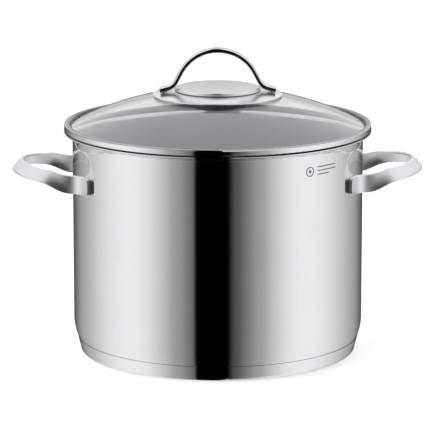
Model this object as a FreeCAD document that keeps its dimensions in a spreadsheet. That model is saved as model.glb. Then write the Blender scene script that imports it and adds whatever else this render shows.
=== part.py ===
import FreeCAD, Part
import math
import os

import Sketcher

# A 24 cm stainless steel stock pot with a capsule base, two twisted strip handles and a domed
# glass lid.  Units are millimetres.  +Z is up, the base rests on Z = 0 and the handles point
# along +X and -X.

SIZES = {
    # Pot shell: one pressed sheet from the floor to the pouring rim.
    "body_radius": 121.0,
    "wall": 1.0,
    "floor_z": 9.2,
    "belly_radius": 40.0,
    "belly_top_z": 28.0,
    "corner_radius": 5.0,
    "neck_z": 176.2,
    "flare_radius": 9.0,
    "lip_radius": 128.44,
    "lip_z": 185.06,
    "lip_inner_radius": 128.26,
    "lip_top_z": 186.05,
    "lip_round": 0.45,
    # Capsule base: an aluminium disc closed in by a steel cap.
    "cap_sheet": 0.8,
    "cap_foot_radius": 113.5,
    "cap_foot_round": 2.0,
    "cap_rim_radius": 118.0,
    "cap_rim_z": 12.15,
    "seam_gap": 0.25,
    "core_gap": 0.1,
    "base_groove_first": 32.0,
    "base_groove_step": 26.0,
    "base_groove_width": 1.6,
    "base_groove_depth": 0.3,
    # Side handles: a strip that follows the wall, leaves it at a bend and twists into a bow.
    "strip_thickness": 3.1,
    "strip_width": 12.3,
    "strip_foot_width": 15.4,
    "strip_corner": 1.25,
    "strip_gap": 0.3,
    "bow_tip_x": 166.5,
    "bow_leg_angle": 9.0,
    "bow_leg_distance": 64.2,
    "bend_radius": 15.0,
    "foot_end_angle": 29.7,
    "foot_corner": 4.8,
    "foot_z": 148.4,
    "bow_step": 2.4,
    "bow_step_length": 21.0,
    "bow_rise": 6.8,
    "bow_tilt": 38.0,
    "twist_start": 2.0,
    "twist_length": 25.0,
    "narrowing_length": 30.0,
    "nugget_radius": 2.2,
    "nugget_inner_angle": 25.4,
    "nugget_outer_angle": 27.9,
    # Lid glass: a spherical dome with a hole in the middle.
    "dome_radius": 271.3,
    "dome_apex_z": 219.07,
    "glass_thickness": 4.0,
    "glass_radius": 124.6,
    "glass_lower_radius": 122.76,
    "glass_hole_radius": 6.5,
    "glass_edge_round": 1.2,
    # Lid ring: a flat band folded over the glass edge, a shelf under it and a leg on the pot rim.
    "ring_sheet": 0.6,
    "band_radius": 127.8,
    "band_inner_radius": 122.9,
    "band_top_z": 192.1,
    "band_round": 1.1,
    "fold_end_z": 189.95,
    "hem_z": 186.4,
    "hem_round": 1.1,
    "shelf_radius": 123.2,
    "shelf_z": 184.2,
    "shelf_rise": 0.45,
    "leg_radius": 122.6,
    "leg_z": 183.2,
    # Lid disc: a pressed plate with a raised, barely domed middle, under the arched handle.
    "disc_sheet": 1.0,
    "disc_crown_z": 222.2,
    "disc_top_z": 221.7,
    "disc_step_radius": 34.8,
    "disc_step_round": 1.2,
    "disc_flange_radius": 35.6,
    "disc_flange_z": 218.6,
    "disc_edge_radius": 53.9,
    "disc_edge_z": 216.0,
    "disc_edge_round": 0.35,
    # Arched lid handle: a strip bent in the XZ plane.
    "arch_radius": 34.3,
    "arch_centre_z": 218.05,
    "arch_half_thickness": 1.9,
    "arch_leg_angle": 62.0,
    "arch_bend_radius": 12.0,
    "arch_foot_angle": 15.0,
    "arch_foot_z": 219.1,
    "arch_end_x": 48.2,
    "arch_half_width": 5.4,
    "arch_waist": 0.5,
    "arch_edge_round": 1.1,
    "pad_radius": 3.0,
    "pad_x": 45.0,
    # Fastening through the glass.
    "boss_radius": 5.0,
    "boss_flange_radius": 8.0,
    "boss_flange_thickness": 1.0,
    "boss_end_z": 213.3,
    "boss_bore_radius": 3.0,
    "boss_bore_depth": 6.4,
    "upper_gasket_inner": 8.5,
    "upper_gasket_outer": 26.0,
    "sleeve_inner": 5.1,
    "sleeve_outer": 6.4,
    "sleeve_low_z": 213.4,
    "sleeve_high_z": 218.9,
    "lower_gasket_inner": 6.8,
    "lower_gasket_outer": 21.5,
    "washer_hole_radius": 3.1,
    "washer_flat_radius": 22.0,
    "washer_radius": 25.0,
    "washer_top_z": 213.1,
    "washer_sheet": 1.0,
    "washer_rise": 0.9,
    "washer_slope_run": 0.3,
    "spring_washer_radius": 5.3,
    "spring_washer_thickness": 1.4,
    "spring_washer_half_gap": 0.4,
    "screw_radius": 2.95,
    "screw_tip_z": 218.7,
    "head_radius": 5.6,
    "head_height": 3.4,
    "head_round": 1.6,
    "recess_half_width": 0.65,
    "recess_half_length": 3.2,
    "recess_depth": 2.0,
}

BASE_GROOVES = 3
BOW_STATIONS = 18

doc = FreeCAD.newDocument("StockPot")
sheet = doc.addObject("Spreadsheet::Sheet", "Sizes")
for row, (alias, size) in enumerate(SIZES.items(), start=1):
    sheet.set("A%d" % row, alias)
    sheet.set("B%d" % row, repr(size))
    sheet.setAlias("B%d" % row, alias)
doc.recompute()


def value(alias):
    """The number that the sheet holds under an alias."""
    return float(sheet.get(alias))


class Length:
    """A signed sum of sheet sizes, such as Length("body_radius", "-wall")."""

    def __init__(self, *terms):
        self.number = 0.0
        self.expression = ""
        for term in terms:
            sign = "-" if term.startswith("-") else "+"
            alias = term.lstrip("-")
            self.number += -value(alias) if sign == "-" else value(alias)
            self.expression += "%s Sizes.%s " % (sign, alias)
        self.expression = self.expression.strip().removeprefix("+ ")


class Free:
    """A coordinate that the sketch solver settles, with a first guess for it."""

    def __init__(self, number):
        self.number = number
        self.expression = None


AXIS = Free(0.0)
AXIS.on_axis = True


# --- Bodies and sketches ---------------------------------------------------------------------

def new_body(label):
    """An empty body whose label is the name of its node."""
    body = doc.addObject("PartDesign::Body", label)
    body.Label = label
    return body


def sketch_on(body, name, role="XZ_Plane", offset=None):
    """A sketch attached to one of the body's own origin planes, lifted by an optional length."""
    sketch = body.newObject("Sketcher::SketchObject", name)
    plane = next(item for item in body.Origin.OriginFeatures if item.Role == role)
    sketch.AttachmentSupport = [(plane, "")]
    sketch.MapMode = "FlatFace"
    if offset is not None:
        sketch.setExpression(".AttachmentOffset.Base.z", offset.expression)
    return sketch


def bind(sketch, constraint, length):
    """Add a constraint and tie its value to the sheet."""
    index = sketch.addConstraint(constraint)
    if length.expression:
        sketch.setExpression("Constraints[%d]" % index, length.expression)


def fix_point(sketch, edge, end, x, z):
    """Hold one end of an edge at the given sketch coordinates."""
    for kind, length, axis in (("DistanceX", x, -2), ("DistanceY", z, -1)):
        if getattr(length, "on_axis", False):
            sketch.addConstraint(Sketcher.Constraint("PointOnObject", edge, end, axis))
        elif length.expression:
            bind(sketch, Sketcher.Constraint(kind, edge, end, length.number), length)


def arc_between(first, last, radius, turn):
    """The shorter arc from first to last; turn is +1 to the left of the way, -1 to the right."""
    middle = (first + last) / 2
    way = last - first
    half = way.Length / 2
    side = FreeCAD.Vector(-way.y, way.x, 0).normalize() * turn
    centre = middle + side * math.sqrt(max(radius ** 2 - half ** 2, 0.0))
    angles = [math.atan2(p.y - centre.y, p.x - centre.x) for p in (first, last)]
    if turn < 0:
        angles.reverse()
    if angles[1] < angles[0]:
        angles[1] += 2 * math.pi
    circle = Part.Circle(centre, FreeCAD.Vector(0, 0, 1), radius)
    return Part.ArcOfCircle(circle, angles[0], angles[1])


def outline(sketch, corners):
    """Draw a closed outline.

    A corner is (x, z) where a straight edge arrives, or (x, z, radius, turn) where an arc
    arrives.  A fifth entry is the height of the arc's centre, which then lies on the Z axis.
    """
    points = [FreeCAD.Vector(corner[0].number, corner[1].number, 0) for corner in corners]
    edges = []
    for index, corner in enumerate(corners):
        first, last = points[index - 1], points[index]
        if len(corner) == 2:
            edge = sketch.addGeometry(Part.LineSegment(first, last), False)
            edges.append((edge, 1, 2))
            continue
        radius, turn = corner[2], corner[3]
        edge = sketch.addGeometry(arc_between(first, last, radius.number, turn), False)
        edges.append((edge, 1, 2) if turn > 0 else (edge, 2, 1))
    for index, corner in enumerate(corners):
        edge, start, end = edges[index]
        following, following_start = edges[(index + 1) % len(edges)][:2]
        sketch.addConstraint(
            Sketcher.Constraint("Coincident", edge, end, following, following_start))
        fix_point(sketch, edge, end, corner[0], corner[1])
        if len(corner) > 2:
            bind(sketch, Sketcher.Constraint("Radius", edge, corner[2].number), corner[2])
        if len(corner) > 4:
            fix_point(sketch, edge, 3, AXIS, corner[4])
    return sketch


def revolve(body, name, corners, kind="PartDesign::Revolution"):
    """Turn an outline in the XZ plane once round the Z axis."""
    sketch = outline(sketch_on(body, name + "_outline"), corners)
    feature = body.newObject(kind, name)
    feature.Profile = sketch
    feature.ReferenceAxis = (sketch, ["V_Axis"])
    feature.Angle = 360
    doc.recompute()
    return feature


def round_edges(body, name, feature, radius_alias, wanted):
    """Round the edges of a feature that the test picks."""
    picked = ["Edge%d" % number for number, edge in enumerate(feature.Shape.Edges, start=1)
              if wanted(edge)]
    fillet = body.newObject("PartDesign::Fillet", name)
    fillet.Base = (feature, picked)
    fillet.setExpression("Radius", "Sizes." + radius_alias)
    doc.recompute()
    return fillet


def circle_at(*places):
    """A test for full circles about the Z axis near any of the (radius, z) places."""
    def wanted(edge):
        box = edge.BoundBox
        return any(abs(box.XMax - radius) < 0.02 and abs(box.YMax - radius) < 0.02
                   and abs(box.Center.z - z) < 0.02 and box.ZLength < 0.01
                   for radius, z in places)
    return wanted


def feature_from(label, shape):
    """A plain feature for a shape that Part's own functions have made."""
    item = doc.addObject("Part::Feature", label)
    item.Label = label
    item.Shape = shape
    item.Placement = FreeCAD.Placement()
    return item


# --- Pot ---------------------------------------------------------------------------------------

class LowerWall:
    """Centre points of the two arcs that turn the wall's outside in to the floor.

    A long belly arc leaves the wall, and a short corner arc joins it to the floor.
    """

    def __init__(self):
        belly, corner = value("belly_radius"), value("corner_radius")
        self.belly_x = value("body_radius") - belly
        self.belly_z = value("belly_top_z")
        self.corner_z = value("floor_z") + corner
        self.slope = math.asin((self.belly_z - self.corner_z) / (belly - corner))
        self.corner_x = self.belly_x + (belly - corner) * math.cos(self.slope)

    def joint(self, depth=0.0):
        """The sketch point where the arcs meet, a depth inside the outer surface."""
        reach = value("belly_radius") - depth
        return (Free(self.belly_x + reach * math.cos(self.slope)),
                Free(self.belly_z - reach * math.sin(self.slope)))

    def height(self, radius, gap):
        """Height of the short corner arc at a radius, measured a gap outside it."""
        reach = value("corner_radius") + gap
        return self.corner_z - math.sqrt(reach ** 2 - (radius - self.corner_x) ** 2)


def make_pot_shell():
    """Floor, wall and flared pouring rim, pressed from one sheet."""
    body = new_body("pot_shell")
    lower = LowerWall()
    corner_x = Free(lower.corner_x)
    belly_z = Length("belly_top_z")
    inner_x = Length("body_radius", "-wall")
    feature = revolve(body, "shell", [
        (AXIS, Length("floor_z")),
        (corner_x, Length("floor_z")),
        lower.joint() + (Length("corner_radius"), 1),
        (Length("body_radius"), belly_z, Length("belly_radius"), 1),
        (Length("body_radius"), Length("neck_z")),
        (Length("lip_radius"), Length("lip_z"), Length("flare_radius"), -1),
        (Length("lip_inner_radius"), Length("lip_top_z")),
        (inner_x, Length("neck_z"), Length("flare_radius", "wall"), 1),
        (inner_x, belly_z),
        lower.joint(value("wall")) + (Length("belly_radius", "-wall"), -1),
        (corner_x, Length("floor_z", "wall"), Length("corner_radius", "-wall"), -1),
        (AXIS, Length("floor_z", "wall")),
    ])
    lip = circle_at((value("lip_radius"), value("lip_z")),
                    (value("lip_inner_radius"), value("lip_top_z")))
    round_edges(body, "lip_rounding", feature, "lip_round", lip)
    return body


def make_base_cap():
    """The steel cap that closes the base from below, with stamped rings in its underside."""
    body = new_body("base_cap")
    rim_inner = Length("cap_rim_radius", "-cap_sheet")
    inner_z = LowerWall().height(rim_inner.number, value("seam_gap"))
    foot_x = Length("cap_foot_radius", "cap_foot_round")
    feature = revolve(body, "cap", [
        (AXIS, AXIS),
        (Length("cap_foot_radius"), AXIS),
        (foot_x, Length("cap_foot_round"), Length("cap_foot_round"), 1),
        (Length("cap_rim_radius"), Length("cap_rim_z")),
        (rim_inner, Free(inner_z)),
        (Length("cap_foot_radius", "cap_foot_round", "-cap_sheet"), Length("cap_foot_round")),
        (Length("cap_foot_radius"), Length("cap_sheet"),
         Length("cap_foot_round", "-cap_sheet"), -1),
        (AXIS, Length("cap_sheet")),
    ])
    volume = feature.Shape.Volume
    for number in range(BASE_GROOVES):
        steps = ["base_groove_step"] * number
        inner = Length("base_groove_first", *steps)
        outer = Length("base_groove_first", "base_groove_width", *steps)
        depth = Length("base_groove_depth")
        groove = revolve(body, "stamped_ring_%d" % (number + 1), [
            (inner, AXIS), (outer, AXIS), (outer, depth), (inner, depth),
        ], kind="PartDesign::Groove")
        assert groove.Shape.Volume < volume, "the stamped ring cuts nothing"
        volume = groove.Shape.Volume
    return body


def make_base_core():
    """The aluminium disc between the shell's floor and the steel cap."""
    body = new_body("base_core")
    gap = value("core_gap")
    lower = LowerWall()
    flat_x = Free(lower.corner_x)
    low_x = Length("cap_foot_radius")
    high_x = Length("cap_rim_radius", "-cap_sheet", "-cap_sheet")
    high_z = lower.height(high_x.number, gap)
    revolve(body, "core", [
        (AXIS, Length("cap_sheet")),
        (low_x, Length("cap_sheet")),
        (high_x, Free(high_z)),
        (flat_x, Length("floor_z", "-core_gap"), Length("corner_radius", "core_gap"), -1),
        (flat_x, Length("floor_z")),
        (AXIS, Length("floor_z")),
    ])
    return body


# --- Side handles ------------------------------------------------------------------------------

class BowPath:
    """Half of the strip's centre line in plan, from the tip of the bow to the end of the foot.

    The bow is an arc about a point on the X axis.  It runs into a straight leg, the leg bends
    sharply, and the foot follows the wall.  Plan points are for the half with negative Y.
    """

    def __init__(self):
        lean = math.radians(value("bow_leg_angle"))
        reach = value("bow_leg_distance")
        tip = value("bow_tip_x")
        bend = value("bend_radius")
        self.along = FreeCAD.Vector(math.cos(lean), math.sin(lean), 0)
        self.outward = FreeCAD.Vector(math.sin(lean), -math.cos(lean), 0)
        centre_x = (tip - reach) / (1 - math.sin(lean))
        self.bow_centre = FreeCAD.Vector(centre_x, 0, 0)
        self.bow_radius = tip - centre_x
        self.bow_turn = math.pi / 2 - lean
        self.foot_radius = (value("body_radius") + value("strip_gap")
                            + value("strip_thickness") / 2)
        across = reach + bend
        ahead = math.sqrt((self.foot_radius + bend) ** 2 - across ** 2)
        self.bend_centre = self.outward * across + self.along * ahead
        self.bend_radius = bend
        self.leg_start = self.bow_centre + self.outward * self.bow_radius
        self.leg_end = self.bend_centre - self.outward * bend
        self.foot_start_angle = math.atan2(-self.bend_centre.y, self.bend_centre.x)
        self.bow_length = self.bow_radius * self.bow_turn
        self.leg_length = (self.leg_start - self.leg_end).Length
        self.bend_turn = math.pi / 2 - lean - self.foot_start_angle

    def bow(self, travel):
        """Point and outward normal at a distance from the tip, on the bow or the leg."""
        if travel > self.bow_length:
            point = self.leg_start - self.along * (travel - self.bow_length)
            return point, self.outward
        angle = travel / self.bow_radius
        normal = FreeCAD.Vector(math.cos(angle), -math.sin(angle), 0)
        return self.bow_centre + normal * self.bow_radius, normal

    def foot_start(self):
        """Point and normal where the sharp bend meets the foot."""
        angle = self.foot_start_angle
        normal = FreeCAD.Vector(math.cos(angle), -math.sin(angle), 0)
        return normal * self.foot_radius, normal


def ease(share):
    """A smooth step from 0 to 1."""
    share = min(max(share, 0.0), 1.0)
    return share * share * (3 - 2 * share)


def strip_section(point, normal, height, width, tilt):
    """The strip's cross-section: a rectangle with rounded corners, tilted about its way."""
    up = FreeCAD.Vector(0, 0, 1)
    centre = FreeCAD.Vector(point.x, point.y, height)
    wide = up * math.cos(tilt) - normal * math.sin(tilt)
    thick = normal * math.cos(tilt) + up * math.sin(tilt)
    corner = value("strip_corner")
    half_wide = width / 2
    half_thick = value("strip_thickness") / 2
    quarter = corner * (1 - math.sqrt(0.5))
    edges = []
    last = None
    first = None
    for side_wide, side_thick in ((1, 1), (1, -1), (-1, -1), (-1, 1)):
        on_side = (centre + thick * (side_thick * half_thick)
                   + wide * (side_wide * (half_wide - corner)))
        on_edge = (centre + wide * (side_wide * half_wide)
                   + thick * (side_thick * (half_thick - corner)))
        middle = (centre + wide * (side_wide * (half_wide - quarter))
                  + thick * (side_thick * (half_thick - quarter)))
        arrive, leave = (on_side, on_edge) if side_wide * side_thick > 0 else (on_edge, on_side)
        if last is not None:
            edges.append(Part.LineSegment(last, arrive).toShape())
        edges.append(Part.Arc(arrive, middle, leave).toShape())
        first = first or arrive
        last = leave
    edges.append(Part.LineSegment(last, first).toShape())
    return Part.Wire(edges)


def bow_sections(path):
    """Sections of the bow and both its legs, from one sharp bend to the other."""
    whole = path.bow_length + path.leg_length
    sections = []
    for number in range(-BOW_STATIONS, BOW_STATIONS + 1):
        travel = whole * abs(number) / BOW_STATIONS
        from_bend = whole - travel
        point, normal = path.bow(travel)
        if number < 0:
            point = FreeCAD.Vector(point.x, -point.y, 0)
            normal = FreeCAD.Vector(normal.x, -normal.y, 0)
        rise = value("bow_step") + value("bow_rise") * math.sin(math.pi / 2 * from_bend / whole)
        height = value("foot_z") + rise * ease(from_bend / value("bow_step_length"))
        tilt = value("bow_tilt") * ease((from_bend - value("twist_start")) / value("twist_length"))
        narrowing = ease(from_bend / value("narrowing_length"))
        width = value("strip_foot_width") * (1 - narrowing) + value("strip_width") * narrowing
        sections.append(strip_section(point, normal, height, width, math.radians(tilt)))
    return sections


def swept(point, normal, centre, turn):
    """The foot's full-width section turned about an upright line through a centre."""
    section = strip_section(point, normal, value("foot_z"), value("strip_foot_width"), 0.0)
    return Part.Face(section).revolve(centre, FreeCAD.Vector(0, 0, 1), math.degrees(turn))


def rounded_foot_end(foot):
    """Round the two corners of the foot's free end, seen square to the wall."""
    end = math.radians(value("foot_end_angle"))
    corner = value("foot_corner")
    outward = FreeCAD.Vector(math.cos(end), -math.sin(end), 0)
    toward_end = FreeCAD.Vector(-math.sin(end), -math.cos(end), 0)
    end_point = outward * value("body_radius") + FreeCAD.Vector(0, 0, value("foot_z"))
    depth = outward * (3 * value("strip_thickness"))
    for side in (1, -1):
        edge = FreeCAD.Vector(0, 0, side * value("strip_foot_width") / 2)
        tip = end_point + edge
        on_end = tip - FreeCAD.Vector(0, 0, side * corner)
        on_edge = tip - toward_end * corner
        centre = on_end - toward_end * corner
        middle = centre + (tip - centre) * math.sqrt(0.5)
        beyond = (tip - centre) * 0.5
        face = Part.Face(Part.Wire([
            Part.Arc(on_end, middle, on_edge).toShape(),
            Part.LineSegment(on_edge, on_edge + beyond).toShape(),
            Part.LineSegment(on_edge + beyond, tip + beyond).toShape(),
            Part.LineSegment(tip + beyond, on_end + beyond).toShape(),
            Part.LineSegment(on_end + beyond, on_end).toShape()]))
        cutter = face.extrude(depth)
        cutter.translate(depth * -0.3)
        foot = foot.cut(cutter)
    return foot


def make_handle(label, side):
    """One twisted strip handle; side is +1 for +X and -1 for -X."""
    path = BowPath()
    foot_turn = math.radians(value("foot_end_angle")) - path.foot_start_angle
    bend = swept(path.leg_end, path.outward, path.bend_centre, path.bend_turn)
    point, normal = path.foot_start()
    foot = swept(point, normal, FreeCAD.Vector(), -foot_turn)
    foot = rounded_foot_end(foot)
    across = FreeCAD.Vector(0, 1, 0)
    pieces = [bend, foot, bend.mirror(FreeCAD.Vector(), across),
              foot.mirror(FreeCAD.Vector(), across)]
    strip = Part.makeLoft(bow_sections(path), True, False).fuse(pieces)
    if side < 0:
        strip = strip.mirror(FreeCAD.Vector(), FreeCAD.Vector(1, 0, 0))
    return feature_from(label, strip)


def make_handle_welds(label, side, handle, shell):
    """The weld nuggets that join both feet of one handle to the wall."""
    through = value("strip_gap") + 2 * value("wall")
    nuggets = []
    for half in (1, -1):
        for alias in ("nugget_inner_angle", "nugget_outer_angle"):
            angle = math.radians(value(alias))
            outward = FreeCAD.Vector(side * math.cos(angle), half * math.sin(angle), 0)
            start = outward * (value("body_radius") - value("wall") / 2)
            start.z = value("foot_z")
            nugget = Part.makeCylinder(value("nugget_radius"), through, start, outward)
            nuggets.append(nugget.cut([shell.Shape, handle.Shape]))
    return feature_from(label, Part.makeCompound([nugget.Solids[0] for nugget in nuggets]))


# --- Lid ---------------------------------------------------------------------------------------

def dome_height(radius, depth=0.0):
    """Height of the glass dome's top at a radius, or of the sphere a depth below it."""
    reach = value("dome_radius") - depth
    centre_z = value("dome_apex_z") - value("dome_radius")
    return centre_z + math.sqrt(reach ** 2 - radius ** 2)


DOME_CENTRE = Length("dome_apex_z", "-dome_radius")


def make_lid_glass():
    """The domed glass with its central hole."""
    body = new_body("lid_glass")
    hole = Length("glass_hole_radius")
    top, low = Length("glass_radius"), Length("glass_lower_radius")
    thick = value("glass_thickness")
    heights = (dome_height(top.number), dome_height(low.number, thick))
    feature = revolve(body, "dome", [
        (hole, Free(dome_height(hole.number, thick))),
        (low, Free(heights[1]), Length("dome_radius", "-glass_thickness"), -1, DOME_CENTRE),
        (top, Free(heights[0])),
        (hole, Free(dome_height(hole.number)), Length("dome_radius"), 1, DOME_CENTRE),
    ])
    rim = circle_at((top.number, heights[0]), (low.number, heights[1]))
    round_edges(body, "ground_edge", feature, "glass_edge_round", rim)
    return body


def make_lid_ring():
    """The folded steel ring that grips the glass edge and stands on the pot's rim."""
    body = new_body("lid_ring")
    inner_round = Length("band_round", "-ring_sheet")
    round_z = Length("band_top_z", "-band_round")
    under_top = Length("band_top_z", "-ring_sheet")
    outer_turn = Length("band_radius", "-band_round")
    inner_turn = Length("band_inner_radius", "band_round")
    band_inside = Length("band_radius", "-ring_sheet")
    fold_inside = Length("band_inner_radius", "ring_sheet")
    hem_top = Length("hem_z", "hem_round")
    hem_x = Length("band_radius", "-hem_round")
    revolve(body, "folded_ring", [
        (Length("band_inner_radius"), Length("fold_end_z")),
        (Length("band_inner_radius"), round_z),
        (inner_turn, Length("band_top_z"), Length("band_round"), -1),
        (outer_turn, Length("band_top_z")),
        (Length("band_radius"), round_z, Length("band_round"), -1),
        (Length("band_radius"), hem_top),
        (hem_x, Length("hem_z"), Length("hem_round"), -1),
        (Length("shelf_radius"), Length("shelf_z")),
        (Length("leg_radius"), Length("leg_z")),
        (Length("leg_radius", "-ring_sheet"), Length("leg_z")),
        (Length("shelf_radius", "-ring_sheet"), Length("shelf_z", "shelf_rise")),
        (hem_x, Length("hem_z", "ring_sheet")),
        (band_inside, hem_top, Length("hem_round", "-ring_sheet"), 1),
        (band_inside, round_z),
        (outer_turn, under_top, inner_round, 1),
        (inner_turn, under_top),
        (fold_inside, round_z, inner_round, 1),
        (fold_inside, Length("fold_end_z")),
    ])
    return body


def make_lid_disc():
    """The pressed plate under the arched handle: a raised, barely domed middle and a flange."""
    body = new_body("lid_disc")
    step_top_x = Length("disc_step_radius", "-disc_step_round")
    under_x = Length("disc_step_radius", "-disc_sheet")
    rise = value("disc_crown_z") - value("disc_top_z")
    crown_radius = (step_top_x.number ** 2 + rise ** 2) / (2 * rise)
    feature = revolve(body, "plate", [
        (AXIS, Length("disc_crown_z")),
        (step_top_x, Length("disc_top_z"), Free(crown_radius), -1),
        (Length("disc_step_radius"), Length("disc_top_z", "-disc_step_round"),
         Length("disc_step_round"), -1),
        (Length("disc_flange_radius"), Length("disc_flange_z")),
        (Length("disc_edge_radius"), Length("disc_edge_z")),
        (Length("disc_edge_radius"), Length("disc_edge_z", "-disc_sheet")),
        (Length("disc_flange_radius"), Length("disc_flange_z", "-disc_sheet")),
        (under_x, Length("disc_flange_z")),
        (under_x, Length("disc_top_z", "-disc_sheet")),
        (AXIS, Length("disc_top_z", "-disc_sheet")),
    ])
    edge = circle_at((value("disc_edge_radius"), value("disc_edge_z")),
                     (value("disc_edge_radius"), value("disc_edge_z") - value("disc_sheet")))
    round_edges(body, "edge_rounding", feature, "disc_edge_round", edge)
    return body


class ArchPath:
    """Key points of half the arched handle's centre line, from the crown to the foot's end."""

    def __init__(self):
        lean = math.radians(value("arch_leg_angle"))
        slope = math.radians(value("arch_foot_angle"))
        radius = value("arch_radius")
        bend = value("arch_bend_radius")
        self.lean, self.slope = lean, slope
        self.crown_centre = FreeCAD.Vector(0, value("arch_centre_z"), 0)
        leg = FreeCAD.Vector(math.cos(lean), -math.sin(lean), 0)
        foot = FreeCAD.Vector(math.cos(slope), -math.sin(slope), 0)
        leg_top = self.crown_centre + FreeCAD.Vector(math.sin(lean), math.cos(lean), 0) * radius
        end = FreeCAD.Vector(value("arch_end_x"), value("arch_foot_z"), 0)
        gap = end - leg_top
        back = (gap.x * leg.y - gap.y * leg.x) / (foot.x * leg.y - foot.y * leg.x)
        corner = end - foot * back
        tangent = bend * math.tan((lean - slope) / 2)
        bend_start = corner - leg * tangent
        self.bend_centre = bend_start + FreeCAD.Vector(math.sin(lean), math.cos(lean), 0) * bend
        self.end = end

    def side(self, offset):
        """The three joints and the end of one side of the strip, offset to the outside."""
        radius = value("arch_radius") + offset
        bend = value("arch_bend_radius") - offset
        leg_way = FreeCAD.Vector(math.sin(self.lean), math.cos(self.lean), 0)
        foot_way = FreeCAD.Vector(math.sin(self.slope), math.cos(self.slope), 0)
        return (self.crown_centre + leg_way * radius, self.bend_centre - leg_way * bend,
                self.bend_centre - foot_way * bend, self.end + foot_way * offset)


def arch_corners(path):
    """The strip's side outline, right half down the outside first, then back along the inside."""
    outer = path.side(value("arch_half_thickness"))
    inner = path.side(-value("arch_half_thickness"))
    crown_z = Length("arch_centre_z")
    crown_out = Length("arch_radius", "arch_half_thickness")
    crown_in = Length("arch_radius", "-arch_half_thickness")
    bend_out = Length("arch_bend_radius", "-arch_half_thickness")
    bend_in = Length("arch_bend_radius", "arch_half_thickness")

    def right(point, *arc):
        return (Free(point.x), Free(point.y)) + arc

    def left(point, *arc):
        return (Free(-point.x), Free(point.y)) + arc

    return [
        right(outer[0], crown_out, -1, crown_z),
        right(outer[1]),
        right(outer[2], bend_out, 1),
        right(outer[3]),
        right(inner[3]),
        right(inner[2]),
        right(inner[1], bend_in, -1),
        right(inner[0]),
        left(inner[0], crown_in, 1, crown_z),
        left(inner[1]),
        left(inner[2], bend_in, -1),
        left(inner[3]),
        left(outer[3]),
        left(outer[2]),
        left(outer[1], bend_out, 1),
        left(outer[0]),
    ]


def make_lid_handle():
    """The arched strip handle: its side outline padded to full width, waisted and rounded."""
    body = new_body("lid_handle")
    sketch = outline(sketch_on(body, "strip_outline"), arch_corners(ArchPath()))
    pad = body.newObject("PartDesign::Pad", "strip")
    pad.Profile = sketch
    pad.Midplane = True
    pad.setExpression("Length", "2 * Sizes.arch_half_width")
    doc.recompute()

    waist = sketch_on(body, "waist_outline", "XY_Plane")
    end_x = value("arch_end_x")
    half_width, hollow = value("arch_half_width"), value("arch_waist")
    radius = (end_x ** 2 + hollow ** 2) / (2 * hollow)
    for side in (1, -1):
        first = FreeCAD.Vector(-side * end_x, side * half_width, 0)
        last = FreeCAD.Vector(side * end_x, side * half_width, 0)
        beyond = FreeCAD.Vector(0, side * half_width, 0)
        arc = waist.addGeometry(arc_between(first, last, radius, 1), False)
        loop = [arc] + [
            waist.addGeometry(Part.LineSegment(*ends), False)
            for ends in ((last, last + beyond), (last + beyond, first + beyond),
                         (first + beyond, first))]
        for edge, following in zip(loop, loop[1:] + loop[:1]):
            waist.addConstraint(Sketcher.Constraint("Coincident", edge, 2, following, 1))
    pocket = body.newObject("PartDesign::Pocket", "waist")
    pocket.Profile = waist
    pocket.Type = "ThroughAll"
    pocket.Reversed = True
    doc.recompute()
    assert pocket.Shape.Volume < pad.Shape.Volume, "the waist cuts nothing"

    def long_edge(edge):
        box = edge.BoundBox
        return min(abs(box.YMin), abs(box.YMax)) > half_width - hollow - 0.1 and (
            box.XLength > 0.5)

    round_edges(body, "long_edges", pocket, "arch_edge_round", long_edge)
    return body


def make_lid_handle_welds(disc, handle):
    """A weld pad under each foot of the arched handle, between it and the disc."""
    pads = []
    low, high = value("disc_edge_z"), value("arch_foot_z") + value("pad_radius")
    foot_slope = math.tan(math.radians(value("arch_foot_angle")))
    pad_top = value("arch_foot_z") + (value("arch_end_x") - value("pad_x")) * foot_slope
    for side in (1, -1):
        centre = FreeCAD.Vector(side * value("pad_x"), 0, low)
        pad = Part.makeCylinder(value("pad_radius"), pad_top - low, centre)
        pieces = pad.cut([disc.Shape, handle.Shape]).Solids
        pads.append(sorted(pieces, key=lambda solid: abs(solid.CenterOfMass.z - pad_top))[0])
    return feature_from("lid_handle_welds", Part.makeCompound(pads))


# --- Fastening through the glass -----------------------------------------------------------------

def make_lid_boss():
    """The flanged, bored boss that is welded under the disc and passes through the glass."""
    body = new_body("lid_boss")
    flange_low = Length("disc_top_z", "-disc_sheet", "-boss_flange_thickness")
    high = Length("disc_top_z", "-disc_sheet")
    bore = Length("boss_bore_radius")
    bore_end = Length("boss_end_z", "boss_bore_depth")
    revolve(body, "boss", [
        (bore, Length("boss_end_z")),
        (Length("boss_radius"), Length("boss_end_z")),
        (Length("boss_radius"), flange_low),
        (Length("boss_flange_radius"), flange_low),
        (Length("boss_flange_radius"), high),
        (AXIS, high),
        (AXIS, bore_end),
        (bore, bore_end),
    ])
    return body


def make_tube(label, inner, outer, low, high):
    """A plain tube about the Z axis."""
    body = new_body(label)
    revolve(body, label + "_tube", [(inner, low), (outer, low), (outer, high), (inner, high)])
    return body


def make_upper_gasket():
    """The silicone ring between the disc and the top of the glass."""
    body = new_body("upper_gasket")
    inner, outer = Length("upper_gasket_inner"), Length("upper_gasket_outer")
    high = Length("disc_top_z", "-disc_sheet")
    revolve(body, "upper_ring", [
        (inner, high),
        (inner, Free(dome_height(inner.number))),
        (outer, Free(dome_height(outer.number)), Length("dome_radius"), -1, DOME_CENTRE),
        (outer, high),
    ])
    return body


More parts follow.
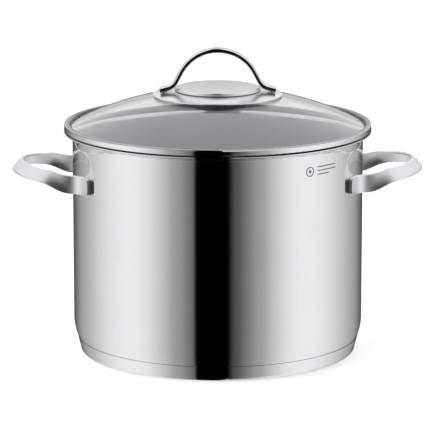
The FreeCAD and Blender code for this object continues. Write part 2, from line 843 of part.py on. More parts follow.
def make_lower_gasket():
    """The silicone ring between the underside of the glass and the steel washer."""
    body = new_body("lower_gasket")
    inner, outer = Length("lower_gasket_inner"), Length("lower_gasket_outer")
    low = Length("washer_top_z")
    depth = value("glass_thickness")
    revolve(body, "lower_ring", [
        (inner, low),
        (outer, low),
        (outer, Free(dome_height(outer.number, depth))),
        (inner, Free(dome_height(inner.number, depth)),
         Length("dome_radius", "-glass_thickness"), 1, DOME_CENTRE),
    ])
    return body


def make_lower_washer():
    """The large steel washer under the glass, with its rim dished upward."""
    body = new_body("lower_washer")
    hole = Length("washer_hole_radius")
    low = Length("washer_top_z", "-washer_sheet")
    revolve(body, "dished_washer", [
        (hole, low),
        (Length("washer_flat_radius"), low),
        (Length("washer_radius"), Length("washer_top_z", "-washer_sheet", "washer_rise")),
        (Length("washer_radius"), Length("washer_top_z", "washer_rise", "-washer_slope_run")),
        (Length("washer_flat_radius", "-washer_slope_run"), Length("washer_top_z")),
        (hole, Length("washer_top_z")),
    ])
    return body


def make_spring_washer():
    """The split spring washer under the screw head."""
    body = new_body("spring_washer")
    high = Length("washer_top_z", "-washer_sheet")
    low = Length("washer_top_z", "-washer_sheet", "-spring_washer_thickness")
    ring = revolve(body, "coil", [
        (Length("washer_hole_radius"), low), (Length("spring_washer_radius"), low),
        (Length("spring_washer_radius"), high), (Length("washer_hole_radius"), high),
    ])
    sketch = sketch_on(body, "split_outline", "XY_Plane")
    half = Length("spring_washer_half_gap")
    minus_half = Length("-spring_washer_half_gap")
    outline(sketch, [
        (minus_half, Length("-spring_washer_radius")), (half, Length("-spring_washer_radius")),
        (half, AXIS), (minus_half, AXIS),
    ])
    split = body.newObject("PartDesign::Pocket", "split")
    split.Profile = sketch
    split.Type = "ThroughAll"
    split.Reversed = True
    doc.recompute()
    assert split.Shape.Volume < ring.Shape.Volume, "the split cuts nothing"
    return body


def make_lid_screw():
    """The pan-head screw that holds the disc to the glass, driven from below."""
    body = new_body("lid_screw")
    head_top = Length("washer_top_z", "-washer_sheet", "-spring_washer_thickness")
    head_low = Length("washer_top_z", "-washer_sheet", "-spring_washer_thickness",
                      "-head_height")
    turned = revolve(body, "turned_screw", [
        (AXIS, head_low),
        (Length("head_radius", "-head_round"), head_low),
        (Length("head_radius"), Length("washer_top_z", "-washer_sheet",
                                       "-spring_washer_thickness", "-head_height",
                                       "head_round"), Length("head_round"), 1),
        (Length("head_radius"), head_top),
        (Length("screw_radius"), head_top),
        (Length("screw_radius"), Length("screw_tip_z")),
        (AXIS, Length("screw_tip_z")),
    ])
    sketch = sketch_on(body, "recess_outline", "XY_Plane", head_low)
    long, short = Length("recess_half_length"), Length("recess_half_width")
    minus_long, minus_short = Length("-recess_half_length"), Length("-recess_half_width")
    outline(sketch, [
        (long, minus_short), (long, short), (short, short), (short, long),
        (minus_short, long), (minus_short, short), (minus_long, short),
        (minus_long, minus_short), (minus_short, minus_short), (minus_short, minus_long),
        (short, minus_long), (short, minus_short),
    ])
    recess = body.newObject("PartDesign::Pocket", "cross_recess")
    recess.Profile = sketch
    recess.Reversed = True
    recess.setExpression("Length", "Sizes.recess_depth")
    doc.recompute()
    assert recess.Shape.Volume < turned.Shape.Volume, "the recess cuts nothing"
    return body


# --- Assembly and export ---------------------------------------------------------------------------

pot_shell = make_pot_shell()
nodes = [pot_shell, make_base_cap(), make_base_core()]
for handle_name, handle_side in (("handle_right", 1), ("handle_left", -1)):
    handle = make_handle(handle_name, handle_side)
    nodes += [handle, make_handle_welds(handle_name + "_welds", handle_side, handle, pot_shell)]
lid_disc = make_lid_disc()
lid_handle = make_lid_handle()
nodes += [
    make_lid_glass(),
    make_lid_ring(),
    lid_disc,
    lid_handle,
    make_lid_handle_welds(lid_disc, lid_handle),
    make_lid_boss(),
    make_tube("hole_sleeve", Length("sleeve_inner"), Length("sleeve_outer"),
              Length("sleeve_low_z"), Length("sleeve_high_z")),
    make_upper_gasket(),
    make_lower_gasket(),
    make_lower_washer(),
    make_spring_washer(),
    make_lid_screw(),
]
doc.recompute()

for item in doc.Objects:
    broken = {"Invalid", "Error"} & set(item.State)
    assert not broken, "%s is %s" % (item.Label, ", ".join(sorted(broken)))
os.makedirs("parts", exist_ok=True)
for node in nodes:
    shape = node.Shape
    assert not shape.isNull() and shape.isValid(), "%s has no valid shape" % node.Label
    shape.exportStep("parts/%s.step" % node.Label)
    print("%-20s %9.1f mm3, %d solid(s)" % (node.Label, shape.Volume, len(shape.Solids)))
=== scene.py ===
import math

import bpy
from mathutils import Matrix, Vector


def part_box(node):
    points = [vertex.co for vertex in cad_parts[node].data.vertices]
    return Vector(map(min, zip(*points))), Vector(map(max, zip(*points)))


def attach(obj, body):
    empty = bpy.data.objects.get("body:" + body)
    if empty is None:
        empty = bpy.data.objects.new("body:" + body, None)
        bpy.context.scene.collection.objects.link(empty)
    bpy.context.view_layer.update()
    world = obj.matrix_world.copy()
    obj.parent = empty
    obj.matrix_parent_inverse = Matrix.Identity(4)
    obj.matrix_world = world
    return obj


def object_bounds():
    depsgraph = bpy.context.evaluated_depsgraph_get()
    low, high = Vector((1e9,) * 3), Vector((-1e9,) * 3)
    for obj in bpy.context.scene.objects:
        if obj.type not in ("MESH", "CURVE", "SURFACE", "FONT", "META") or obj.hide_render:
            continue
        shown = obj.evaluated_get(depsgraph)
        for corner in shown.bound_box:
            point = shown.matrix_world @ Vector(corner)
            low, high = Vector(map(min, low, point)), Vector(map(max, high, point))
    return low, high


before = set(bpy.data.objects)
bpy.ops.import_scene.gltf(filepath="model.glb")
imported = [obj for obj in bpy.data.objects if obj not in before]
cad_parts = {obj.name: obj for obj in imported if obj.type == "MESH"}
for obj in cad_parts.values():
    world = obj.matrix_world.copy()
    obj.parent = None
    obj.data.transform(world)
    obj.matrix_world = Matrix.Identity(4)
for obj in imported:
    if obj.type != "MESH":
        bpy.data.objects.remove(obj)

cad_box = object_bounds()

# --- Places read from the frame ----------------------------------------------------------------

MM = 0.001
shell_top = Vector(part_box("pot_shell")[1])
ring_top = Vector(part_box("lid_ring")[1])
plate_top = Vector(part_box("lid_disc")[1])

# The pot's wall, its rounded foot (belly) and the flare under its lip.
WALL_RADIUS = shell_top.x - 7.36 * MM
BELLY_RADIUS = 40.0 * MM
BELLY_TOP_Z = 28.0 * MM
SHELL_FOOT_Z = 13.0 * MM
FLOOR_Z = 9.7 * MM
NECK_Z = shell_top.z - 9.85 * MM
FLARE_RADIUS = 9.0 * MM
FLARE_HEIGHT = 8.8 * MM
HALF_WALL = 0.5 * MM
# The lid's ring, and the step in the plate under its handle, where shade is painted on.
RING_INNER_RADIUS = ring_top.x - 3.9 * MM
RING_EDGE_FADE = 0.7 * MM
RING_HEM_Z = shell_top.z + 1.2 * MM
RING_HEM_FADE = 0.4 * MM
RING_ROUND_Z = ring_top.z - 1.1 * MM
RING_ROUND_FADE = 0.5 * MM
STEP_START = plate_top.x - 19.3 * MM
CREASE_START = plate_top.x - 18.7 * MM
STEP_END = plate_top.x - 18.3 * MM
# The mark on the wall: its middle, and how far it stands off so that it shows.
MARK_TURN = math.radians(40.1)
MARK_Z = shell_top.z - 17.55 * MM
MARK_LIFT = 0.06 * MM


# --- Node helpers ------------------------------------------------------------------------------

class Shader:
    """A node material under construction, with short calls for the nodes that it uses."""

    def __init__(self, name, tree=None):
        if tree is None:
            self.material = bpy.data.materials.new(name)
            self.material.use_nodes = True
            tree = self.material.node_tree
        tree.nodes.clear()
        self.tree = tree

    def add(self, kind, **settings):
        node = self.tree.nodes.new(kind)
        for key, setting in settings.items():
            setattr(node, key, setting)
        return node

    def plug(self, socket, source):
        """Feed a socket with another node's output, or with a plain value."""
        if isinstance(source, bpy.types.NodeSocket):
            self.tree.links.new(source, socket)
        else:
            socket.default_value = source

    def math(self, operation, *sources, clamp=False):
        node = self.add("ShaderNodeMath", operation=operation, use_clamp=clamp)
        for socket, source in zip(node.inputs, sources):
            self.plug(socket, source)
        return node.outputs[0]

    def remap(self, source, low, high, to_low=0.0, to_high=1.0, smooth=True):
        node = self.add("ShaderNodeMapRange",
                        interpolation_type="SMOOTHSTEP" if smooth else "LINEAR")
        for socket, entry in zip(node.inputs, (source, low, high, to_low, to_high)):
            self.plug(socket, entry)
        return node.outputs[0]

    def mix(self, factor, first, second):
        node = self.add("ShaderNodeMix", data_type="RGBA")
        self.plug(node.inputs[0], factor)
        self.plug(node.inputs[6], first)
        self.plug(node.inputs[7], second)
        return node.outputs[2]

    def mix_number(self, factor, first, second):
        node = self.add("ShaderNodeMix", data_type="FLOAT")
        self.plug(node.inputs[0], factor)
        self.plug(node.inputs[2], first)
        self.plug(node.inputs[3], second)
        return node.outputs[0]

    def noise(self, vector, scale, detail=2.0, roughness=0.5):
        node = self.add("ShaderNodeTexNoise")
        self.plug(node.inputs["Vector"], vector)
        node.inputs["Scale"].default_value = scale
        node.inputs["Detail"].default_value = detail
        node.inputs["Roughness"].default_value = roughness
        return node.outputs["Fac"]

    def scaled(self, vector, scale):
        node = self.add("ShaderNodeMapping")
        self.plug(node.inputs["Vector"], vector)
        node.inputs["Scale"].default_value = scale
        return node.outputs[0]

    def bump(self, height, strength, distance, normal=None):
        node = self.add("ShaderNodeBump")
        node.inputs["Strength"].default_value = strength
        node.inputs["Distance"].default_value = distance
        self.plug(node.inputs["Height"], height)
        if normal is not None:
            self.plug(node.inputs["Normal"], normal)
        return node.outputs[0]

    def place(self):
        """Position in the object's own space, which is the part's frame."""
        return self.add("ShaderNodeTexCoord").outputs["Object"]

    def split(self, vector):
        node = self.add("ShaderNodeSeparateXYZ")
        self.plug(node.inputs[0], vector)
        return node.outputs

    def join(self, x, y, z):
        node = self.add("ShaderNodeCombineXYZ")
        for socket, source in zip(node.inputs, (x, y, z)):
            self.plug(socket, source)
        return node.outputs[0]

    def arm(self, length, side):
        """The other short side of a right triangle with a long side and one short side given."""
        return self.math("SQRT", self.math("SUBTRACT", length ** 2, self.math(
            "MULTIPLY", side, side)))

    def around(self, place):
        """Radius, arc length round the Z axis at the wall's radius, and height, in metres."""
        x, y, z = self.split(place)
        radius = self.math("SQRT", self.math(
            "ADD", self.math("MULTIPLY", x, x), self.math("MULTIPLY", y, y)))
        angle = self.math("ARCTAN2", x, self.math("MULTIPLY", y, -1.0))
        return radius, self.math("MULTIPLY", angle, WALL_RADIUS), z

    def surface(self, volume=None, **inputs):
        """Finish with one principled shader, and with a volume shader's output if one is given."""
        shader = self.add("ShaderNodeBsdfPrincipled")
        for key, source in inputs.items():
            self.plug(shader.inputs[key.replace("_", " ")], source)
        output = self.add("ShaderNodeOutputMaterial")
        self.tree.links.new(shader.outputs[0], output.inputs["Surface"])
        if volume is not None:
            self.tree.links.new(volume, output.inputs["Volume"])
        return self.material


# --- Materials ---------------------------------------------------------------------------------

STEEL_LIGHT = (0.83, 0.83, 0.84, 1.0)
STEEL_DARK = (0.77, 0.77, 0.785, 1.0)
SATIN_LIGHT = (0.985, 0.975, 1.0, 1.0)
SATIN_DARK = (0.91, 0.9, 0.93, 1.0)
# Painted shade for the crease at the foot of the plate's step.
CREASE_SHADE_LIGHT = (0.14, 0.13, 0.14, 1.0)
CREASE_SHADE_DARK = (0.06, 0.06, 0.06, 1.0)
# Painted shade for the ring's gaps to the glass and the pot, and for its rounded top.
GAP_SHADE = (0.05, 0.05, 0.055, 1.0)
TURNED_DARK = (0.66, 0.66, 0.675, 1.0)
ALUMINIUM_LIGHT = (0.82, 0.82, 0.83, 1.0)
ALUMINIUM_DARK = (0.68, 0.68, 0.7, 1.0)
SILICONE_DARK = (0.13, 0.13, 0.135, 1.0)
SILICONE_LIGHT = (0.19, 0.19, 0.195, 1.0)
# The glass takes light away along its length, by the share missing from this tint per metre.
GLASS_SKIN = (0.985, 0.985, 0.985, 1.0)
GLASS_BODY = (0.5, 0.49, 0.51, 1.0)
GLASS_DENSITY = 42.0
# Frequencies across the fine lines of each finish, per metre.
POLISH_LINES = 9000.0
SATIN_LINES = 3000.0
TURNED_LINES = 5200.0


def buffing(shader, place, across):
    """Very fine polishing lines, stretched round the pot; across is the frequency across them."""
    radius, arc, height = shader.around(place)
    flow = shader.join(shader.math("MULTIPLY", arc, across * 0.012),
                       shader.math("MULTIPLY", radius, across),
                       shader.math("MULTIPLY", height, across))
    return shader.noise(flow, 1.0, detail=3.0, roughness=0.65)


class Steel:
    """Mirror-polished stainless steel with faint buffing lines and slight handling marks.

    haze is roughness added to the polish.  The other methods change the finish in some places,
    and two of them paint shade, before done() makes the material.
    """

    def __init__(self, name, haze=0.0):
        shader = self.shader = Shader(name)
        self.place = shader.place()
        self.lines = buffing(shader, self.place, POLISH_LINES)
        self.smear = shader.noise(self.place, 38.0, detail=4.0, roughness=0.6)
        specks = shader.remap(shader.noise(self.place, 900.0, detail=2.0), 0.62, 0.8)
        self.rough = shader.math("ADD", 0.035 + haze, shader.math("MULTIPLY", self.smear, 0.035))
        self.rough = shader.math("ADD", self.rough, shader.math("MULTIPLY", specks, 0.03))
        self.rough = shader.math("ADD", self.rough, shader.math("MULTIPLY", self.lines, 0.02))
        self.tint = shader.mix(self.smear, STEEL_LIGHT, STEEL_DARK)
        self.normal = shader.bump(self.lines, 0.05, 0.00002)
        self.metallic = 1.0

    def drawn_wall(self):
        """Keep the outside exactly round, and give the inside the satin of a drawn pot."""
        shader = self.shader
        radius, arc, level = shader.around(self.place)
        depth = shader.math("MAXIMUM", shader.math("SUBTRACT", BELLY_TOP_Z, level), 0.0)
        rise = shader.math("MAXIMUM", shader.math("SUBTRACT", level, NECK_Z), 0.0)
        rise = shader.math("MINIMUM", rise, FLARE_HEIGHT)
        middle = shader.math("ADD", shader.arm(BELLY_RADIUS, depth),
                             WALL_RADIUS - BELLY_RADIUS - HALF_WALL)
        spread = shader.math("SUBTRACT", FLARE_RADIUS, shader.arm(FLARE_RADIUS, rise))
        inside = shader.math("MULTIPLY", shader.math("LESS_THAN", radius, middle),
                             shader.math("GREATER_THAN", level, FLOOR_Z))
        outside = shader.math(
            "GREATER_THAN", radius, shader.math("ADD", middle, spread))
        outside = shader.math("MULTIPLY", outside, shader.math("MULTIPLY",
            shader.math("GREATER_THAN", level, SHELL_FOOT_Z),
            shader.math("LESS_THAN", level, NECK_Z + FLARE_HEIGHT)))

        # The true direction outward, which looks down in the belly and the flare.
        down = shader.math("ADD", shader.math("DIVIDE", depth, BELLY_RADIUS),
                           shader.math("DIVIDE", rise, FLARE_RADIUS))
        share = shader.math("DIVIDE", shader.arm(1.0, down), radius)
        x, y, z = shader.split(self.place)
        outward = shader.add("ShaderNodeVectorTransform", vector_type="NORMAL",
                             convert_from="OBJECT", convert_to="WORLD")
        shader.plug(outward.inputs[0], shader.join(
            shader.math("MULTIPLY", x, share), shader.math("MULTIPLY", y, share),
            shader.math("MULTIPLY", down, -1.0)))
        facing = shader.add("ShaderNodeNewGeometry").outputs["Normal"]
        self.normal = shader.bump(self.lines, 0.05, 0.00002,
                                  shader.mix(outside, facing, outward.outputs[0]))

        satin = buffing(shader, self.place, SATIN_LINES)
        self.rough = shader.mix_number(inside, self.rough, shader.math(
            "ADD", 0.58, shader.math("MULTIPLY", satin, 0.1)))
        self.tint = shader.mix(inside, self.tint, shader.mix(satin, SATIN_LIGHT, SATIN_DARK))
        self.normal = shader.bump(shader.math("MULTIPLY", satin, inside), 0.12, 0.00002,
                                  self.normal)
        self.metallic = shader.mix_number(inside, 1.0, 0.3)
        return self

    def shade_step_crease(self):
        """Leave the plate's step hazy, and paint dark shade into the crease at its foot."""
        shader = self.shader
        radius = shader.around(self.place)[0]
        fade_out = shader.remap(radius, STEP_END, STEP_END + 0.3 * MM, 1.0, 0.0)
        riser = shader.math("MULTIPLY", shader.remap(
            radius, STEP_START, STEP_START + 0.3 * MM), fade_out)
        # dull is the foot of the step: it is made rougher and gets painted shade in the crease.
        dull = shader.math("MULTIPLY", shader.remap(
            radius, CREASE_START, CREASE_START + 0.2 * MM), fade_out)
        self.rough = shader.mix_number(riser, self.rough, 0.5)
        self.tint = shader.mix(dull, self.tint, shader.mix(self.smear, CREASE_SHADE_LIGHT, CREASE_SHADE_DARK))
        self.rough = shader.mix_number(dull, self.rough, 0.35)
        return self

    def shade_ring_band(self):
        """Paint shade on the ring: a little on its rounded top, which dims its reflection, and a
        lot at its inner edge and its hem, in the gaps to the glass and the pot.
        """
        shader = self.shader
        radius, arc, level = shader.around(self.place)
        top = shader.remap(level, RING_ROUND_Z, RING_ROUND_Z + RING_ROUND_FADE)
        edge = shader.remap(radius, RING_INNER_RADIUS, RING_INNER_RADIUS + RING_EDGE_FADE,
                            1.0, 0.0)
        hem = shader.remap(level, RING_HEM_Z, RING_HEM_Z + RING_HEM_FADE, 1.0, 0.0)
        for zone, strength in ((top, 0.55), (edge, 0.8), (hem, 0.95)):
            self.tint = shader.mix(shader.math("MULTIPLY", zone, strength), self.tint, GAP_SHADE)
        return self

    def done(self):
        return self.shader.surface(Base_Color=self.tint, Metallic=self.metallic,
                                   Roughness=self.rough, Normal=self.normal)


def satin_steel(name):
    """Turned stainless steel with circular tool lines."""
    shader = Shader(name)
    place = shader.place()
    lines = buffing(shader, place, TURNED_LINES)
    smear = shader.noise(place, 60.0, detail=4.0)
    rough = shader.math("ADD", 0.12, shader.math("MULTIPLY", lines, 0.12))
    rough = shader.math("ADD", rough, shader.math("MULTIPLY", smear, 0.04))
    tint = shader.mix(lines, STEEL_LIGHT, TURNED_DARK)
    normal = shader.bump(lines, 0.18, 0.00003)
    return shader.surface(Base_Color=tint, Metallic=1.0, Roughness=rough, Normal=normal)


def raw_aluminium(name):
    """The pressed aluminium of the base's core."""
    shader = Shader(name)
    place = shader.place()
    grain = shader.noise(place, 700.0, detail=5.0, roughness=0.7)
    rough = shader.math("ADD", 0.35, shader.math("MULTIPLY", grain, 0.2))
    tint = shader.mix(grain, ALUMINIUM_LIGHT, ALUMINIUM_DARK)
    return shader.surface(Base_Color=tint, Metallic=1.0, Roughness=rough,
                          Normal=shader.bump(grain, 0.3, 0.0001))


def lid_glass(name):
    """Clear tempered glass with the faintest ripple and a trace of wiping marks."""
    shader = Shader(name)
    place = shader.place()
    ripple = shader.noise(place, 14.0, detail=1.0)
    wipe = shader.remap(shader.noise(shader.scaled(place, (1.0, 4.0, 1.0)), 45.0, detail=5.0),
                        0.55, 0.8)
    rough = shader.math("MULTIPLY", wipe, 0.035)
    body = shader.add("ShaderNodeVolumeAbsorption")
    body.inputs["Color"].default_value = GLASS_BODY
    body.inputs["Density"].default_value = GLASS_DENSITY
    return shader.surface(volume=body.outputs[0], Base_Color=GLASS_SKIN, Roughness=rough,
                          IOR=1.5, Specular_IOR_Level=0.25, Transmission_Weight=1.0,
                          Normal=shader.bump(ripple, 0.06, 0.0004))


def silicone(name):
    """Matt grey silicone rubber with a fine moulded grain."""
    shader = Shader(name)
    grain = shader.noise(shader.place(), 2500.0, detail=3.0)
    dust = shader.noise(shader.place(), 120.0, detail=4.0)
    tint = shader.mix(dust, SILICONE_DARK, SILICONE_LIGHT)
    rough = shader.math("ADD", 0.5, shader.math("MULTIPLY", grain, 0.25))
    return shader.surface(Base_Color=tint, Roughness=rough,
                          Normal=shader.bump(grain, 0.25, 0.00005))


FINISHES = [
    (Steel("wall_steel").drawn_wall().done(), ["pot_shell"]),
    (Steel("bright_steel").done(), ["base_cap"]),
    (Steel("arch_steel", haze=0.05).done(), ["lid_handle"]),
    (Steel("handle_steel", haze=0.27).done(), ["handle_left", "handle_right"]),
    (satin_steel("turned_steel"), ["handle_left_welds", "handle_right_welds", "lid_handle_welds",
                                   "lid_boss", "lower_washer", "spring_washer", "lid_screw"]),
    (raw_aluminium("core_aluminium"), ["base_core"]),
    (Steel("plate_steel", haze=0.15).shade_step_crease().done(), ["lid_disc"]),
    (Steel("ring_steel").shade_ring_band().done(), ["lid_ring"]),
    (lid_glass("dome_glass"), ["lid_glass"]),
    (silicone("gasket_silicone"), ["hole_sleeve", "upper_gasket", "lower_gasket"]),
]
for finish, node_names in FINISHES:
    for node_name in node_names:
        thing = bpy.data.objects[node_name]
        thing.data.materials.clear()
        thing.data.materials.append(finish)


# --- Etched mark -------------------------------------------------------------------------------

# Left, right, bottom and top of each bar, and radii of each ring, in millimetres from the mark's
# middle and from the rings' middle, which is to the left of it.
MARK_BARS = [(0.0, 21.3, 2.6, 3.5), (0.0, 21.3, -0.45, 0.45), (0.0, 13.3, -3.5, -2.6)]
MARK_RINGS = [(3.2, 4.1), (0.0, 1.4)]
MARK_RING_LEFT = 8.0
BAR_STEPS = 12
RING_STEPS = 40
ETCH_DARK = (0.16, 0.155, 0.165, 1.0)
ETCH_LIGHT = (0.3, 0.295, 0.31, 1.0)


def etched_steel(name):
    """The dull grey of a shallow etched mark."""
    shader = Shader(name)
    grain = shader.noise(shader.place(), 6000.0, detail=3.0)
    tint = shader.mix(grain, ETCH_DARK, ETCH_LIGHT)
    return shader.surface(Base_Color=tint, Metallic=0.6, Roughness=0.55,
                          Normal=shader.bump(grain, 0.4, 0.00002))


def make_mark():
    """A plain ornament etched in the wall, front right under the rim: a ring beside three bars."""
    vertices, faces = [], []

    def patch(columns):
        """A strip through pairs of (along, up) places on the wall, bent round it."""
        first = len(vertices)
        for pair in columns:
            for along, up in pair:
                angle = MARK_TURN + along / WALL_RADIUS
                radius = WALL_RADIUS + MARK_LIFT
                vertices.append((radius * math.sin(angle), -radius * math.cos(angle), MARK_Z + up))
        for number in range(len(columns) - 1):
            low = first + 2 * number
            faces.append((low, low + 2, low + 3, low + 1))

    for left, right, low, high in MARK_BARS:
        step = (right - left) / BAR_STEPS
        patch([[((left + step * number) * MM, level * MM) for level in (low, high)]
               for number in range(BAR_STEPS + 1)])
    turns = [2 * math.pi * number / RING_STEPS for number in range(RING_STEPS + 1)]
    for inner, outer in MARK_RINGS:
        patch([[((radius * math.cos(turn) - MARK_RING_LEFT) * MM, radius * math.sin(turn) * MM)
                for radius in (outer, inner)] for turn in turns])
    mesh = bpy.data.meshes.new("etched_mark")
    mesh.from_pydata(vertices, [], faces)
    mesh.materials.append(etched_steel("etched_steel"))
    mark = bpy.data.objects.new("etched_mark", mesh)
    bpy.context.collection.objects.link(mark)
    for polygon in mesh.polygons:
        polygon.use_smooth = True
    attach(mark, "pot")


make_mark()


# --- Studio ------------------------------------------------------------------------------------

STEEL_REFLECTS = 0.8
CAMERA_HEIGHT_ANGLE = math.radians(12.0)
CAMERA_TURN = math.radians(1.5)
TOWARD_CAMERA = Vector((-math.sin(CAMERA_TURN) * math.cos(CAMERA_HEIGHT_ANGLE),
                        -math.cos(CAMERA_TURN) * math.cos(CAMERA_HEIGHT_ANGLE),
                        math.sin(CAMERA_HEIGHT_ANGLE)))
CAMERA_DISTANCE = 2.515
CAMERA_TARGET = Vector((-2.26 * MM, 0.0, 112.7 * MM))
CAMERA_LENS = 251.2
LAMP_PLACE = Vector((-0.9, -0.9, 2.0))
LAMP_TARGET = Vector((0.0, 0.0, 0.12))
LAMP_WIDTH, LAMP_HEIGHT = 1.6, 1.2
LAMP_POWER = 14.0
FLOOR_HALF = 14.0
FLOOR_DROP = 0.0002
FLOOR_GLOW = 0.36
FLOOR_DARK = (0.93, 0.93, 0.93, 1.0)
FLOOR_LIGHT = (0.96, 0.96, 0.96, 1.0)
WHITE = (1.0, 1.0, 1.0, 1.0)
# Levels of 255 that a face shows, by the degrees that it is turned from the front.
PANEL_LEVELS = [(4.5, 62), (8.5, 88), (11.5, 119), (15, 146), (18, 160), (21, 184), (24.5, 205),
                (29, 224), (34, 233), (39, 234), (44, 229), (49, 220), (56, 200), (62.5, 177),
                (70, 152), (76, 110), (82, 75), (90, 55)]
# Levels by the degrees that a face looks up, in front, and by the degrees short of that behind.
SKY_LEVELS = [(0, 200), (30, 232), (60, 240), (80, 234), (84, 230), (88, 222), (90, 196)]
BACK_LEVELS = [(0, 196), (1.6, 172), (4, 185), (9, 200), (30, 200), (45, 190)]
SKY_TINT = (0.99, 0.985, 1.0, 1.0)
BACK_SPAN = 45.0
SLOT_LEVEL = 2
RIM_LEVEL = 70
# Middle and half width of the slot's soft edges and of its soft top, in the same degrees.
SLOT_LEFT = (-9.1, 0.8)
SLOT_RIGHT = (5.3, 1.5)
SLOT_TOP = (56.0, 4.0)
# Where the sky takes over from the side panels, and where they brighten near the table, in
# degrees of lift; then how steeply a face must be seen before it darkens at its rim.
SKY_START, SKY_FULL = 14.0, 44.0
TABLE_START, TABLE_FULL = -34.0, -62.0
TABLE_WHITENS = 0.75
RIM_START, RIM_FULL = 0.15, 0.05


def display(level):
    """Scene-linear value of a display level from 0 to 255."""
    share = level / 255.0
    return share / 12.92 if share <= 0.04045 else ((share + 0.055) / 1.055) ** 2.4


def grey(level):
    """The light that polished steel shows as a level from 0 to 255."""
    light = display(level) / STEEL_REFLECTS
    return (light, light, light, 1.0)


def level_ramp(shader, share, levels, span):
    """Grey levels along a share from 0 to 1; their places are given on a scale up to span."""
    ramp = shader.add("ShaderNodeValToRGB")
    shader.plug(ramp.inputs[0], share)
    elements = ramp.color_ramp.elements
    while len(elements) < len(levels):
        elements.new(0.5)
    for element, (place, level) in zip(elements, sorted(levels)):
        element.position = place / span
        element.color = grey(level)
    return ramp.outputs[0]


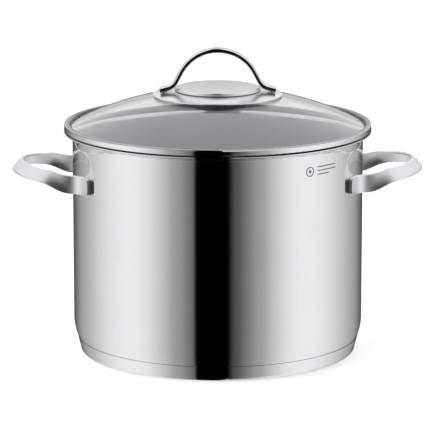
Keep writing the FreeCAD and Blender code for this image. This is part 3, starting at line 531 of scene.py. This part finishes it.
def make_surroundings():
    """Bright panels at both sides, a dark slot between them in front, and a soft white sky.

    Each direction is described by the polished face that would show it to the camera: how far
    round the pot that face looks, and how far up.  Levels are those that polished steel shows.
    """
    world = bpy.data.worlds.new("studio")
    bpy.context.scene.world = world
    world.use_nodes = True
    shader = Shader("studio", world.node_tree)
    way = shader.add("ShaderNodeTexCoord").outputs["Generated"]
    halfway = shader.add("ShaderNodeVectorMath", operation="SUBTRACT")
    shader.plug(halfway.inputs[0], way)
    halfway.inputs[1].default_value = -TOWARD_CAMERA
    turned = shader.add("ShaderNodeVectorRotate", rotation_type="Z_AXIS")
    shader.plug(turned.inputs["Vector"], halfway.outputs[0])
    turned.inputs["Angle"].default_value = CAMERA_TURN
    reach = shader.add("ShaderNodeVectorMath", operation="LENGTH")
    shader.plug(reach.inputs[0], halfway.outputs[0])
    straight = shader.add("ShaderNodeVectorMath", operation="NORMALIZE")
    shader.plug(straight.inputs[0], turned.outputs[0])
    x, y, z = shader.split(straight.outputs[0])
    face_turn = shader.math("DEGREES", shader.math("ARCTAN2", x, shader.math("MULTIPLY", y, -1.0)))
    face_lift = shader.math("DEGREES", shader.math("ARCSINE", z))

    panel_share = shader.math("DIVIDE", shader.math("ABSOLUTE", face_turn), 90.0, clamp=True)
    panels = level_ramp(shader, panel_share, PANEL_LEVELS, 90.0)
    lower = shader.remap(face_lift, TABLE_START, TABLE_FULL)
    panels = shader.mix(lower, panels, shader.mix(TABLE_WHITENS, panels, WHITE))
    upper = shader.remap(face_lift, SKY_START, SKY_FULL)
    sky = level_ramp(shader, shader.math("DIVIDE", face_lift, 90.0, clamp=True), SKY_LEVELS, 90.0)
    tinted = shader.mix(1.0, sky, SKY_TINT)
    tinted.node.blend_type = "MULTIPLY"
    glow = shader.mix(upper, panels, tinted)
    behind = shader.math("GREATER_THAN", shader.math("ABSOLUTE", face_turn), 90.0)
    back_share = shader.math("SUBTRACT", 90.0, face_lift)
    back = level_ramp(shader, shader.math("DIVIDE", back_share, BACK_SPAN, clamp=True),
                      BACK_LEVELS, BACK_SPAN)
    glow = shader.mix(behind, glow, back)

    left, right = (shader.remap(face_turn, edge - soft, edge + soft)
                   for edge, soft in (SLOT_LEFT, SLOT_RIGHT))
    top, soft = SLOT_TOP
    low_enough = shader.remap(face_lift, top - soft, top + soft, 1.0, 0.0)
    slot = shader.math("MULTIPLY", shader.math("SUBTRACT", left, right), low_enough)
    glow = shader.mix(slot, glow, grey(SLOT_LEVEL))
    grazing = shader.math("MULTIPLY", reach.outputs["Value"], 0.5)
    rim = shader.remap(grazing, RIM_FULL, RIM_START, 1.0, 0.0)
    glow = shader.mix(rim, glow, grey(RIM_LEVEL))

    background = shader.add("ShaderNodeBackground")
    shader.plug(background.inputs["Color"], glow)
    background.inputs["Strength"].default_value = 1.0
    output = shader.add("ShaderNodeOutputWorld")
    shader.tree.links.new(background.outputs[0], output.inputs["Surface"])


def make_floor():
    """A wide pale table top, level with the underside of the base."""
    mesh = bpy.data.meshes.new("studio_floor")
    half = FLOOR_HALF
    mesh.from_pydata([(-half, -half, 0), (half, -half, 0), (half, half, 0), (-half, half, 0)],
                     [], [(0, 1, 2, 3)])
    floor = bpy.data.objects.new("studio_floor", mesh)
    bpy.context.collection.objects.link(floor)
    floor.location.z = cad_box[0][2] - FLOOR_DROP
    shader = Shader("floor_paper")
    grain = shader.noise(shader.place(), 300.0, detail=3.0)
    tint = shader.mix(grain, FLOOR_DARK, FLOOR_LIGHT)
    mesh.materials.append(shader.surface(
        Base_Color=tint, Roughness=0.8, Emission_Color=WHITE, Emission_Strength=FLOOR_GLOW))
    floor.visible_glossy = False


def make_light():
    """One large soft box, high in front of the pot and to its left, that leaves no highlight."""
    light = bpy.data.lights.new("soft_box", "AREA")
    light.shape = "RECTANGLE"
    light.size, light.size_y = LAMP_WIDTH, LAMP_HEIGHT
    light.energy = LAMP_POWER
    lamp = bpy.data.objects.new("soft_box", light)
    lamp.visible_glossy = False
    lamp.visible_transmission = False
    bpy.context.collection.objects.link(lamp)
    lamp.location = LAMP_PLACE
    aim = LAMP_TARGET - LAMP_PLACE
    lamp.rotation_euler = aim.to_track_quat("-Z", "Y").to_euler()


def make_camera():
    """A long lens, slightly above the lid, with the pot a little right of the middle."""
    camera = bpy.data.cameras.new("camera")
    camera.sensor_width = 36.0
    camera.lens = CAMERA_LENS
    eye = bpy.data.objects.new("camera", camera)
    bpy.context.collection.objects.link(eye)
    eye.location = CAMERA_TARGET + TOWARD_CAMERA * CAMERA_DISTANCE
    eye.rotation_euler = (math.pi / 2 - CAMERA_HEIGHT_ANGLE, 0, -CAMERA_TURN)
    bpy.context.scene.camera = eye


make_surroundings()
make_floor()
make_light()
make_camera()
bpy.context.scene.view_settings.view_transform = "Standard"
